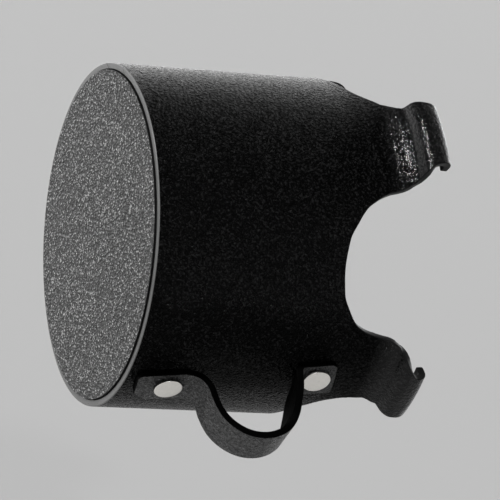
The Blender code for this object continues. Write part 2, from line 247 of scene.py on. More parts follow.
def mouth_x(degrees):
    a = abs((degrees + 180) % 360 - 180)
    edge = SPLIT_X
    for scallop in (TOP_SCALLOP, NEAR_SCALLOP, BOTTOM_SCALLOP):
        if scallop[0][0] <= a <= scallop[-1][0]:
            edge = min(edge, through(scallop, a) * MM)
    return edge


def angle_at(scallop, x, rising):
    """The angle at which a scallop's edge is at x: on its rising or its falling side."""
    knots = list(scallop)
    lowest = min(range(len(knots)), key=lambda i: knots[i][1])
    part = knots[lowest:] if rising else knots[: lowest + 1][::-1]
    low, high = part[0][0], part[-1][0]
    for _ in range(60):
        middle = (low + high) / 2
        if through(knots, middle) * MM < x:
            low = middle
        else:
            high = middle
    return (low + high) / 2


def hook_edges(kind, x):
    """The two side edges of a hook's skin at x, in degrees: on from the scallops' edges behind the crease."""
    if kind == "upper":
        table, before, after = UPPER_HOOK, TOP_SCALLOP, NEAR_SCALLOP
    else:
        table, before, after = LOWER_HOOK, NEAR_SCALLOP, BOTTOM_SCALLOP
    if x < CREASE_X - 0.0001 * MM:
        return angle_at(before, x, True), angle_at(after, x, False)
    low = through([(k[0], k[1]) for k in table], x / MM)
    high = through([(k[0], k[2]) for k in table], x / MM)
    return low, high


def ring_profile(name, profile, mat, segments=256, degrees=360.0, start=0.0, centre=None, sharp=38.0):
    """A body turned round the mute's axis from a closed (x, r) profile."""
    full = degrees >= 360.0
    count = segments if full else segments + 1
    verts, faces = [], []
    n = len(profile)
    for k in range(count):
        angle = start + degrees * k / segments
        for x, r in profile:
            verts.append(polar(x, r, angle))
    for k in range(segments):
        a, b = k * n, ((k + 1) % count) * n
        for j in range(n):
            faces.append((a + j, a + (j + 1) % n, b + (j + 1) % n, b + j))
    if not full:
        faces.append(tuple(range(n)))
        faces.append(tuple(reversed([(count - 1) * n + j for j in range(n)])))
    return mesh_object(name, verts, faces, mat, sharp=sharp, recalc=True)


def rounded(points, radius, steps=4):
    """A closed polygon with its corners rounded."""
    out = []
    n = len(points)
    for i in range(n):
        p = Vector(points[i])
        a = Vector(points[i - 1])
        b = Vector(points[(i + 1) % n])
        u, v = (a - p), (b - p)
        r = min(radius, u.length * 0.45, v.length * 0.45)
        s, e = p + u.normalized() * r, p + v.normalized() * r
        for k in range(steps + 1):
            t = k / steps
            q = (1 - t) ** 2 * s + 2 * t * (1 - t) * p + t * t * e
            out.append((q.x, q.y))
    return out


def disc_profile(x0, x1, radius, edge, rings, bulge=0.0):
    """A half profile (x, r) of a disc from its first face's centre, over its rim, to its second face's centre."""
    pts = [(x0 - bulge * (1 - (r / radius) ** 2), r) for r in rings if r < radius - edge]
    for k in range(6):
        a = math.pi / 2 * k / 5
        pts.append((x0 + edge - edge * math.cos(a), radius - edge + edge * math.sin(a)))
    for k in range(6):
        a = math.pi / 2 * k / 5
        pts.append((x1 - edge + edge * math.sin(a), radius - edge + edge * math.cos(a)))
    pts += [(x1, r) for r in reversed([q for q in rings if q < radius - edge])]
    return pts


def closed_disc(name, profile, mat, segments=256, wobble=None, sharp=38.0):
    """A solid of revolution whose half profile starts and ends near the axis."""
    verts, faces = [], []
    n = len(profile)
    for k in range(segments):
        angle = 360 * k / segments
        for x, r in profile:
            dx = wobble(x, r, angle) if wobble else 0.0
            verts.append(polar(x + dx, r, angle))
    for k in range(segments):
        a, b = k * n, ((k + 1) % segments) * n
        for j in range(n - 1):
            faces.append((a + j, a + j + 1, b + j + 1, b + j))
    faces.append(tuple(k * n for k in range(segments)))
    faces.append(tuple(reversed([k * n + n - 1 for k in range(segments)])))
    return mesh_object(name, verts, faces, mat, sharp=sharp, recalc=True)


def radial_frame(x, degrees):
    outward = (polar(0, 1, degrees) - polar(0, 0, degrees)).normalized()
    along = Vector((1, 0, 0))
    side = outward.cross(along)
    m = Matrix((along, side, outward)).transposed().to_4x4()
    m.translation = polar(x, 0, degrees)
    return m


def radial_lathe(name, profile, x, degrees, mat, segments=64, closed=False, sharp=38.0):
    """A body turned round a radius of the mute: profile is (distance from the mute's axis, radius)."""
    m = radial_frame(x, degrees)
    verts, faces = [], []
    n = len(profile)
    for k in range(segments):
        a = 2 * math.pi * k / segments
        for height, radius in profile:
            verts.append(m @ Vector((radius * math.cos(a), radius * math.sin(a), height)))
    for k in range(segments):
        a, b = k * n, ((k + 1) % segments) * n
        for j in range(n if closed else n - 1):
            faces.append((a + j, a + (j + 1) % n, b + (j + 1) % n, b + j))
    if not closed:
        faces.append(tuple(k * n for k in range(segments)))
        faces.append(tuple(k * n + n - 1 for k in range(segments)))
    return mesh_object(name, verts, faces, mat, sharp=sharp, recalc=True)


# ---------------------------------------------------------------- materials


class Nodes:
    """Short ways to add shader nodes to one material."""

    def __init__(self, name):
        self.mat = bpy.data.materials.new(name)
        self.mat.use_nodes = True
        self.tree = self.mat.node_tree
        self.shader = self.tree.nodes["Principled BSDF"]
        self.place = self.tree.nodes.new("ShaderNodeTexCoord").outputs["Object"]

    def set(self, socket, value):
        self.shader.inputs[socket].default_value = value

    def join(self, a, b):
        self.tree.links.new(a, b)

    def feed(self, node, **inputs):
        for key, value in inputs.items():
            socket = node.inputs[key.replace("_", " ")]
            if isinstance(value, bpy.types.NodeSocket):
                self.join(value, socket)
            else:
                socket.default_value = value
        return node

    def mapped(self, scale, vector=None, rotation=(0, 0, 0)):
        node = self.tree.nodes.new("ShaderNodeMapping")
        node.inputs["Scale"].default_value = scale
        node.inputs["Rotation"].default_value = rotation
        self.join(vector or self.place, node.inputs["Vector"])
        return node.outputs["Vector"]

    def noise(self, scale, detail=3.0, rough=0.55, distortion=0.0, vector=None):
        node = self.tree.nodes.new("ShaderNodeTexNoise")
        self.feed(node, Scale=scale, Detail=detail, Roughness=rough, Distortion=distortion, Vector=vector or self.place)
        return node.outputs["Fac"]

    def noise_colour(self, scale, detail=2.0, vector=None):
        node = self.tree.nodes.new("ShaderNodeTexNoise")
        self.feed(node, Scale=scale, Detail=detail, Vector=vector or self.place)
        return node.outputs["Color"]

    def cells(self, scale, feature="F1", vector=None, smooth=0.6, random=1.0):
        node = self.tree.nodes.new("ShaderNodeTexVoronoi")
        node.feature = feature
        self.feed(node, Scale=scale, Vector=vector or self.place, Randomness=random)
        if feature == "SMOOTH_F1":
            node.inputs["Smoothness"].default_value = smooth
        return node.outputs["Distance"]

    def math(self, operation, a, b=0.0, clamp=False):
        node = self.tree.nodes.new("ShaderNodeMath")
        node.operation = operation
        node.use_clamp = clamp
        for socket, value in zip(node.inputs, (a, b)):
            if isinstance(value, bpy.types.NodeSocket):
                self.join(value, socket)
            else:
                socket.default_value = value
        return node.outputs[0]

    def vector_math(self, operation, a, b):
        node = self.tree.nodes.new("ShaderNodeVectorMath")
        node.operation = operation
        for socket, value in zip(node.inputs, (a, b)):
            if isinstance(value, bpy.types.NodeSocket):
                self.join(value, socket)
            else:
                socket.default_value = value
        return node.outputs[0]

    def ramp(self, value, stops, smooth=False):
        node = self.tree.nodes.new("ShaderNodeValToRGB")
        band = node.color_ramp
        band.interpolation = "EASE" if smooth else "LINEAR"
        while len(band.elements) < len(stops):
            band.elements.new(0.5)
        for element, (at, colour) in zip(band.elements, stops):
            element.position = at
            element.color = (*colour, 1.0) if hasattr(colour, "__len__") else (colour, colour, colour, 1.0)
        self.join(value, node.inputs["Fac"])
        return node.outputs["Color"]

    def span(self, value, low, high, to_low, to_high):
        node = self.tree.nodes.new("ShaderNodeMapRange")
        self.feed(node, Value=value)
        for key, v in (("From Min", low), ("From Max", high), ("To Min", to_low), ("To Max", to_high)):
            node.inputs[key].default_value = v
        return node.outputs["Result"]

    def bump(self, height, strength, distance, normal=None):
        node = self.tree.nodes.new("ShaderNodeBump")
        self.feed(node, Height=height, Strength=strength, Distance=distance)
        if normal is not None:
            self.join(normal, node.inputs["Normal"])
        return node.outputs["Normal"]

    def pointiness(self):
        return self.tree.nodes.new("ShaderNodeNewGeometry").outputs["Pointiness"]


def haircell(name, dark, light, rough, grain=1.0, depth=1.35 * MM, shine=0.14, lips=False, painted_floor_bounce=False):
    """Extruded plastic sheet with a moulded haircell grain: rounded pebbles under a millimetre across, wrinkles
    between.

    With lips, the grain is pressed flatter and shinier where the hooks were formed, from the mouth outwards.
    A sheet given a painted floor bounce is painted lighter towards its lowest part: painted light bounced up from the
    floor.
    """
    n = Nodes(name)
    warp = n.vector_math("MULTIPLY", n.vector_math("SUBTRACT", n.noise_colour(700 / grain, 2.0), (0.5, 0.5, 0.5)), (0.0013 * grain,) * 3)
    place = n.vector_math("ADD", n.place, warp)
    pebbles = n.cells(1020 / grain, "SMOOTH_F1", place, 0.25)
    fine = n.noise(1250 / grain, 2.0, 0.6, vector=place)
    broad = n.noise(420 / grain, 2.0, 0.5)
    height = n.math("ADD", n.math("MULTIPLY", pebbles, -0.6), n.math("ADD", n.math("MULTIPLY", fine, 0.95), n.math("MULTIPLY", broad, 0.25)))
    if not lips:
        n.join(n.bump(height, 1.0, depth), n.shader.inputs["Normal"])
    patch = n.noise(38, 3.0, 0.6)
    tall = n.span(height, 0.0, 0.65, 0.0, 1.0)
    if lips:
        split = n.tree.nodes.new("ShaderNodeSeparateXYZ")
        n.join(n.place, split.inputs["Vector"])
        joint = n.math("ABSOLUTE", n.math("ADD", split.outputs["Y"], SHELL_OUTER_R * math.sin(math.radians(SEAM_ANGLE))))
        joint = n.math("MULTIPLY", n.span(joint, 0.08 * MM, 0.24 * MM, 1.0, 0.0), n.span(split.outputs["Z"], 0.0, 0.001, 0.0, 1.0))
        tall = n.math("SUBTRACT", tall, joint)
        height = n.math("SUBTRACT", height, n.math("MULTIPLY", joint, 0.5))
        n.join(n.bump(height, 1.0, depth), n.shader.inputs["Normal"])
    # colour from the grain's height: painted shade in its hollows and painted light on its tops, over the sheet's own
    # patchy colour
    patch_tone_and_painted_light = n.math("ADD", n.math("MULTIPLY", tall, 0.8), n.math("MULTIPLY", patch, 0.2))
    if painted_floor_bounce:
        split = n.tree.nodes.new("ShaderNodeSeparateXYZ")
        n.join(n.place, split.inputs["Vector"])
        # painted light: the colour is lighter towards the lowest part, standing in for light bounced up from the floor
        patch_tone_and_painted_light = n.math("ADD", patch_tone_and_painted_light, n.span(split.outputs["Z"], -0.045, -0.066, 0.0, 0.22))
    grey = [min(1.0, c * 2.1) for c in light]
    patch_tone_and_painted_light = n.ramp(patch_tone_and_painted_light, ((0.46 if lips else 0.30, dark), (0.66, light), (0.90, grey)))
    n.join(patch_tone_and_painted_light, n.shader.inputs["Base Color"])
    wear = n.span(n.pointiness(), 0.50, 0.56, 0.0, 0.10)
    roughness = n.math("SUBTRACT", n.span(tall, 0.25, 0.75, rough + 0.12, rough - 0.08), wear)
    if lips:
        formed = n.span(split.outputs["X"], -0.0145, -0.0085, 0.0, 1.0)
        roughness = n.math("SUBTRACT", roughness, n.math("MULTIPLY", formed, 0.03))
        n.join(n.math("MULTIPLY", formed, 0.7), n.shader.inputs["Coat Weight"])
        n.set("Coat Roughness", 0.085)
        n.set("Coat IOR", 1.38)
        n.join(n.bump(height, 1.0, depth * 0.10), n.shader.inputs["Coat Normal"])
    n.join(n.math("MAXIMUM", roughness, 0.12), n.shader.inputs["Roughness"])
    n.set("Specular IOR Level", shine)
    return n.mat


def disc_material(name):
    """Dark grey plate with a fine even pebble. Its grey and its salt-and-pepper flecks are painted into the colour:
    partly the plate's own colour, partly painted light and shade of the pebble grain.
    """
    n = Nodes(name)
    wide = n.mapped((1.0, 0.55, 1.0))
    fine = n.noise(1450, 2.0, 0.65, vector=wide)
    finer = n.noise(2600, 1.0, 0.5, vector=wide)
    pebbles = n.cells(1250, "SMOOTH_F1", wide, 0.2)
    height = n.math("ADD", n.math("MULTIPLY", fine, 1.1), n.math("ADD", n.math("MULTIPLY", finer, 0.3), n.math("MULTIPLY", pebbles, -0.6)))
    n.join(n.bump(height, 1.0, 1.1 * MM), n.shader.inputs["Normal"])
    patch = n.noise(30, 3.0, 0.6)
    # painted light and shade: colour flecks lighter on the pebbles' tops and at random points, darker in the hollows
    salt = n.noise(1350, 2.0, 0.7, vector=n.mapped((1.0, 0.6, 1.0), rotation=(0.6, 0, 0)))
    fleck_painted_light_and_shade = n.math("ADD", n.math("MULTIPLY", n.span(height, 0.2, 0.95, 0.0, 1.0), 0.45), n.math("ADD", n.math("MULTIPLY", salt, 0.5), n.math("MULTIPLY", patch, 0.05)))
    n.join(n.ramp(fleck_painted_light_and_shade, ((0.39, (0.004, 0.004, 0.004)), (0.50, (0.14, 0.14, 0.139)), (0.60, (0.47, 0.47, 0.467)))), n.shader.inputs["Base Color"])
    n.join(n.span(fine, 0.3, 0.7, 0.56, 0.40), n.shader.inputs["Roughness"])
    n.set("Specular IOR Level", 0.45)
    return n.mat


def cut_edge_material(name, colour, rough, shine=0.5):
    """The sheet's own cut edge: no grain, fine saw and file marks."""
    n = Nodes(name)
    n.set("Specular IOR Level", shine)
    marks = n.noise(1500, 3.0, 0.6, vector=n.mapped((0.25, 1.0, 1.0)))
    patch = n.noise(160, 2.0, 0.5)
    n.join(n.bump(n.math("ADD", marks, n.math("MULTIPLY", patch, 0.6)), 0.5, 0.05 * MM), n.shader.inputs["Normal"])
    n.join(n.ramp(patch, ((0.3, tuple(c * 0.85 for c in colour)), (0.7, tuple(c * 1.15 for c in colour)))), n.shader.inputs["Base Color"])
    n.join(n.span(marks, 0.3, 0.7, rough - 0.06, rough + 0.08), n.shader.inputs["Roughness"])
    return n.mat


def rim_material(name, colour, rough):
    """The closed end's rubbed-down edge, crossed by the two fine cuts of the sheet's seam."""
    n = Nodes(name)
    marks = n.noise(1500, 3.0, 0.6, vector=n.mapped((0.25, 1.0, 1.0)))
    patch = n.noise(130, 2.0, 0.5)
    split = n.tree.nodes.new("ShaderNodeSeparateXYZ")
    n.join(n.place, split.inputs["Vector"])
    near_top = n.span(split.outputs["Z"], 0.045, 0.046, 0.0, 1.0)
    cuts = 0.0
    for outer, inner in SEAM_LINES:
        p, q = polar(0, SHELL_OUTER_R, outer), polar(0, SHELL_INNER_R, inner)
        t = (q - p).normalized()
        off = n.math("ADD", n.math("MULTIPLY", split.outputs["Y"], -t.z), n.math("MULTIPLY", split.outputs["Z"], t.y))
        off = n.math("ABSOLUTE", n.math("SUBTRACT", off, -p.y * t.z + p.z * t.y))
        here = n.span(n.math("ABSOLUTE", n.math("SUBTRACT", split.outputs["Y"], (p.y + q.y) / 2)), 0.004, 0.0045, 1.0, 0.0)
        line = n.math("MULTIPLY", n.span(off, 0.10 * MM, 0.26 * MM, 1.0, 0.0), here)
        cuts = n.math("MAXIMUM", line, cuts)
    cuts = n.math("MULTIPLY", cuts, near_top)
    height = n.math("SUBTRACT", n.math("ADD", n.math("MULTIPLY", marks, 0.6), n.math("MULTIPLY", patch, 0.4)), n.math("MULTIPLY", cuts, 3.0))
    n.join(n.bump(height, 0.5, 0.06 * MM), n.shader.inputs["Normal"])
    shade = n.math("MULTIPLY", n.span(patch, 0.3, 0.7, 0.85, 1.12), n.math("SUBTRACT", 1.0, n.math("MULTIPLY", cuts, 0.93)))
    mix = n.tree.nodes.new("ShaderNodeMixRGB")
    mix.inputs["Color1"].default_value = (0.0, 0.0, 0.0, 1.0)
    mix.inputs["Color2"].default_value = (*colour, 1.0)
    n.join(shade, mix.inputs["Fac"])
    n.join(mix.outputs["Color"], n.shader.inputs["Base Color"])
    n.join(n.span(marks, 0.3, 0.7, rough - 0.06, rough + 0.08), n.shader.inputs["Roughness"])
    return n.mat


def metal_material(name, colour, rough):
    """Nickel-plated rivet metal with fine turned and handling marks."""
    n = Nodes(name)
    fine = n.noise(900, 4.0, 0.6)
    broad = n.noise(120, 2.0, 0.5)
    n.join(n.bump(n.math("ADD", n.math("MULTIPLY", fine, 0.6), broad), 0.25, 0.04 * MM), n.shader.inputs["Normal"])
    n.join(n.ramp(fine, ((0.3, tuple(c * 0.92 for c in colour)), (0.7, colour))), n.shader.inputs["Base Color"])
    n.join(n.span(fine, 0.3, 0.7, rough - 0.07, rough + 0.1), n.shader.inputs["Roughness"])
    n.set("Metallic", 1.0)
    return n.mat


def foam_material(name):
    n = Nodes(name)
    pores = n.cells(620, "F1", None)
    small = n.cells(1500, "F1", None)
    grain = n.noise(1800, 3.0, 0.6)
    height = n.math("ADD", n.math("ADD", pores, n.math("MULTIPLY", small, 0.5)), n.math("MULTIPLY", grain, 0.4))
    n.join(n.bump(height, 1.0, 0.5 * MM), n.shader.inputs["Normal"])
    n.join(n.ramp(pores, ((0.1, (0.010, 0.010, 0.011)), (0.6, (0.045, 0.045, 0.048)))), n.shader.inputs["Base Color"])
    n.join(n.span(grain, 0.3, 0.7, 0.88, 1.0), n.shader.inputs["Roughness"])
    n.set("Specular IOR Level", 0.25)
    n.set("Sheen Weight", 0.12)
    return n.mat


def batting_material(name):
    n = Nodes(name)
    fibre = n.noise(900, 5.0, 0.7, 1.5, n.mapped((1.0, 0.35, 1.0)))
    cross = n.noise(900, 5.0, 0.7, 1.5, n.mapped((1.0, 1.0, 0.35)))
    height = n.math("MAXIMUM", fibre, cross)
    n.join(n.bump(height, 0.9, 0.5 * MM), n.shader.inputs["Normal"])
    n.join(n.ramp(height, ((0.35, (0.10, 0.10, 0.098)), (0.7, (0.30, 0.30, 0.29)))), n.shader.inputs["Base Color"])
    n.join(n.span(height, 0.3, 0.8, 0.85, 1.0), n.shader.inputs["Roughness"])
    n.set("Sheen Weight", 0.2)
    return n.mat


def cloth_material(name):
    """Plain woven cloth: threads over and under each other, about 1.1 mm apart."""
    n = Nodes(name)
    split = n.tree.nodes.new("ShaderNodeSeparateXYZ")
    n.join(n.place, split.inputs["Vector"])
    pitch = 2 * math.pi / (1.1 * MM)
    y = n.math("SINE", n.math("MULTIPLY", split.outputs["Y"], pitch))
    z = n.math("SINE", n.math("MULTIPLY", split.outputs["Z"], pitch))
    half_y = n.math("SINE", n.math("MULTIPLY", split.outputs["Y"], pitch / 2))
    half_z = n.math("SINE", n.math("MULTIPLY", split.outputs["Z"], pitch / 2))
    over = n.math("MULTIPLY", half_y, half_z)
    height = n.math("ADD", n.math("MAXIMUM", n.math("MULTIPLY", y, over), n.math("MULTIPLY", z, n.math("MULTIPLY", over, -1.0))), n.math("MULTIPLY", n.noise(2500, 3.0), 0.5))
    n.join(n.bump(height, 0.8, 0.18 * MM), n.shader.inputs["Normal"])
    n.join(n.ramp(n.span(height, -0.6, 1.2, 0.0, 1.0), ((0.0, (0.008, 0.008, 0.009)), (1.0, (0.05, 0.05, 0.052)))), n.shader.inputs["Base Color"])
    n.join(n.span(n.noise(200, 2.0), 0.3, 0.7, 0.82, 0.98), n.shader.inputs["Roughness"])
    n.set("Sheen Weight", 0.15)
    return n.mat


# ---------------------------------------------------------------- pieces


def build_sleeve(mats):
    """The shell's skin: triangulated over the unrolled sheet so that its cut edges can be rounded evenly."""
    tabs = {}
    for kind, sign in (("upper", 1), ("lower", 1), ("lower", -1), ("upper", -1)):
        low, high = hook_edges(kind, SPLIT_X)
        tabs[(kind, sign)] = (low, high) if sign > 0 else (-high, -low)
    # the mouth's edge as (angle, x, is a cut edge), once round
    edge = []

    def add_split(kind, sign):
        low, high = tabs[(kind, sign)]
        for k in range(HOOK_COLUMNS):
            f = hook_fraction(k)
            edge.append((low + (high - low) * f, SPLIT_X, False))

    def add_scallop(start, stop):
        pts = []
        a = start
        while a < stop:
            pts.append(a)
            slope = abs(mouth_x(a + 0.02) - mouth_x(a - 0.02)) / (0.04 * math.pi / 180 * SHELL_OUTER_R)
            a += math.degrees(0.75 * MM / SHELL_OUTER_R) / math.sqrt(1 + slope * slope)
        pts = pts[1:]
        if pts and stop - pts[-1] < 0.12:
            pts.pop()
        for p in pts:
            edge.append((p, mouth_x(p), True))

    order = [("upper", 1), ("lower", 1), ("lower", -1), ("upper", -1)]
    spans = [tabs[o] for o in order]
    spans[2] = (spans[2][0] + 360, spans[2][1] + 360)
    spans[3] = (spans[3][0] + 360, spans[3][1] + 360)
    for i, (kind, sign) in enumerate(order):
        low, high = spans[i]
        for k in range(HOOK_COLUMNS):
            f = hook_fraction(k)
            edge.append((low + (high - low) * f, SPLIT_X, False))
        nxt = spans[(i + 1) % 4][0] + (360 if i == 3 else 0)
        add_scallop(high, nxt)
    count = len(edge)
    scale = SHELL_OUTER_R * math.pi / 180

    # in-plane outward normals of the mouth's edge
    flat = [(a * scale, x) for a, x, _ in edge]
    turn = 360 * scale
    normals = []
    for i in range(count):
        p = flat[i - 1] if i else (flat[-1][0] - turn, flat[-1][1])
        q = flat[(i + 1) % count] if i < count - 1 else (flat[0][0] + turn, flat[0][1])
        t = Vector((q[0] - p[0], q[1] - p[1])).normalized()
        normals.append(Vector((-t.y, t.x)))
    for i, (a, x, cut) in enumerate(edge):
        if not cut:
            normals[i] = Vector((0, 1))
    # at a tab's corner the cut edge meets the split: keep the split's own direction there
    rows_off = [0.0]
    inset = []
    for i, (a, x, cut) in enumerate(edge):
        if cut:
            inset.append((flat[i][0] - normals[i].x * EDGE, flat[i][1] - normals[i].y * EDGE))
        else:
            inset.append(flat[i])
    # a tab's end columns belong to the cut edge's rounding
    verts, faces, slots = [], [], []

    # interior points of the unrolled sheet, wrapped at the far side's end
    back = RIM_X + EDGE
    start_angle = edge[0][0]
    closed = inset
    ring = []
    ring_count = 420
    for k in range(ring_count):
        ring.append((start_angle * scale + turn * k / ring_count, back))
    pts, segs = [], []
    for p in closed:
        pts.append(Vector(p))
    top_last = len(pts)
    pts.append(Vector((closed[0][0] + turn, closed[0][1])))
    for i in range(top_last):
        segs.append((i, i + 1))
    base = len(pts)
    for p in ring:
        pts.append(Vector(p))
    pts.append(Vector((ring[0][0] + turn, ring[0][1])))
    for i in range(ring_count):
        segs.append((base + i, base + i + 1))
    # the two sides of the unrolled sheet, the same heights on both
    side_steps = 60
    left_prev, right_prev = base, len(pts) - 1
    for k in range(1, side_steps):
        x = back + (closed[0][1] - back) * k / side_steps
        pts.append(Vector((closed[0][0], x)))
        pts.append(Vector((closed[0][0] + turn, x)))
        left, right = len(pts) - 2, len(pts) - 1
        segs.append((left_prev, left))
        segs.append((right_prev, right))
        left_prev, right_prev = left, right
    segs.append((left_prev, 0))
    segs.append((right_prev, top_last))
    # interior lattice
    step = 1.15 * MM
    row = 0
    x = back + step * 0.9
    top = np.array([(p[0], p[1]) for p in closed] + [(closed[0][0] + turn, closed[0][1])])
    while x < max(top[:, 1]):
        y = closed[0][0] + step * (0.75 if row % 2 else 1.25)
        while y < closed[0][0] + turn - 0.6 * step:
            limit = mouth_x(y / scale)
            if x < limit - 0.5 * MM:
                if x < -33 * MM or np.min((top[:, 0] - y) ** 2 + (top[:, 1] - x) ** 2) > (0.62 * step) ** 2:
                    pts.append(Vector((y, x)))
            y += step
        x += step * 0.866
        row += 1
    out = delaunay_2d_cdt(pts, segs, [], 1, 1e-9)
    flat_verts, _, flat_faces = out[0], out[1], out[2]
    # keep the faces inside the boundary, then weld the two sides
    key = {}
    index = []
    uniq = []
    for v in flat_verts:
        y, xx = v.x, v.y
        if y > closed[0][0] + turn - 1e-6:
            y -= turn
        k = (round(y * 1e7), round(xx * 1e7))
        if k not in key:
            key[k] = len(uniq)
            uniq.append((y, xx))
        index.append(key[k])
    tri = []
    for f in flat_faces:
        cx = sum(flat_verts[i].x for i in f) / len(f)
        cy = sum(flat_verts[i].y for i in f) / len(f)
        if cy > mouth_x(cx / scale) - 1e-7:
            # a face outside the inset edge
            if cy > SPLIT_X - 1e-7 or mouth_x(cx / scale) < SPLIT_X - 1e-7:
                continue
        tri.append([index[i] for i in f])
    half = SHEET / 2
    outer0 = 0
    for y, xx in uniq:
        verts.append(shell_point(xx, y / scale, half))
    inner0 = len(verts)
    for y, xx in uniq:
        verts.append(shell_point(xx, y / scale, -half + REBATE * smoothstep((-89.0 * MM - xx) / (0.7 * MM))))
    for f in tri:
        faces.append(tuple(outer0 + i for i in f))
        slots.append(0)
        faces.append(tuple(inner0 + i for i in reversed(f)))
        slots.append(1)

    def lookup(p):
        y, xx = p
        if y > closed[0][0] + turn - 1e-6:
            y -= turn
        k = (round(y * 1e7), round(xx * 1e7))
        for dy in (0, -1, 1):
            for dx in (0, -1, 1):
                j = key.get((k[0] + dy, k[1] + dx))
                if j is not None:
                    return j
        raise ValueError("edge point lost")

    top_ids = [lookup(p) for p in closed]
    ring_ids = [lookup(p) for p in ring]
    # rounded mouth edge: rows between the outer surface's rim and the inner's
    profile = []
    for k in range(1, 5):
        a = math.pi / 2 * k / 4
        profile.append((EDGE * (1 - math.sin(a)), half - EDGE * (1 - math.cos(a))))
    profile += [(0.0, 0.0)]
    profile += [(d, -h) for d, h in reversed(profile[:4])]
    previous = [outer0 + i for i in top_ids]
    for depth, height in profile:
        ids = []
        for i, (a, x, cut) in enumerate(edge):
            if cut:
                y = flat[i][0] - normals[i].x * depth
                xx = flat[i][1] - normals[i].y * depth
            else:
                y, xx = flat[i]
            ids.append(len(verts))
            verts.append(shell_point(xx, y / scale, height))
        for i in range(count):
            j = (i + 1) % count
            faces.append((previous[i], previous[j], ids[j], ids[i]))
            slots.append(2)
        previous = ids
    ids = [inner0 + i for i in top_ids]
    for i in range(count):
        j = (i + 1) % count
        faces.append((previous[i], previous[j], ids[j], ids[i]))
        slots.append(2)
    # the closed end's cut edge
    steps = []
    for k in range(1, 5):
        a = math.pi / 2 * k / 4
        steps.append((EDGE * (1 - math.sin(a)), half - EDGE * (1 - math.cos(a))))
    low = -half + REBATE
    for k in range(1, 12):
        steps.append((0.0, half - EDGE - (half - low - 2 * EDGE) * k / 12))
    for k in range(4, 0, -1):
        a = math.pi / 2 * k / 4
        steps.append((EDGE * (1 - math.sin(a)), low + EDGE * (1 - math.cos(a))))
    previous = [outer0 + i for i in ring_ids]
    for depth, height in steps:
        ids = []
        for y, _ in ring:
            ids.append(len(verts))
            verts.append(shell_point(RIM_X + depth, y / scale, height))
        for i in range(ring_count):
            j = (i + 1) % ring_count
            faces.append((previous[j], previous[i], ids[i], ids[j]))
            slots.append(2)
        previous = ids
    ids = [inner0 + i for i in ring_ids]
    for i in range(ring_count):
        j = (i + 1) % ring_count
        faces.append((previous[j], previous[i], ids[i], ids[j]))
        slots.append(2)

    mesh = bpy.data.meshes.new("sleeve")
    mesh.from_pydata([tuple(v) for v in verts], [], faces)
    for mat in mats:
        mesh.materials.append(mat)
    mesh.polygons.foreach_set("material_index", slots)
    bm = bmesh.new()
    bm.from_mesh(mesh)
    bmesh.ops.remove_doubles(bm, verts=bm.verts, dist=1e-7)
    bmesh.ops.recalc_face_normals(bm, faces=bm.faces)
    loose = [v for v in bm.verts if not v.link_faces]
    bmesh.ops.delete(bm, geom=loose, context="VERTS")
    print("sleeve", len(bm.verts), "points,", sum(1 for e in bm.edges if len(e.link_faces) != 2), "open or shared edges")
    bm.to_mesh(mesh)
    bm.free()
    mesh.shade_smooth()
    mesh.set_sharp_from_angle(angle=math.radians(42))
    return link(bpy.data.objects.new("sleeve", mesh))


HOOK_COLUMNS = 45


def hook_fraction(k):
    """Columns across a hook, evenly spaced from one cut edge to the other."""
    t = k / (HOOK_COLUMNS - 1)
    return t


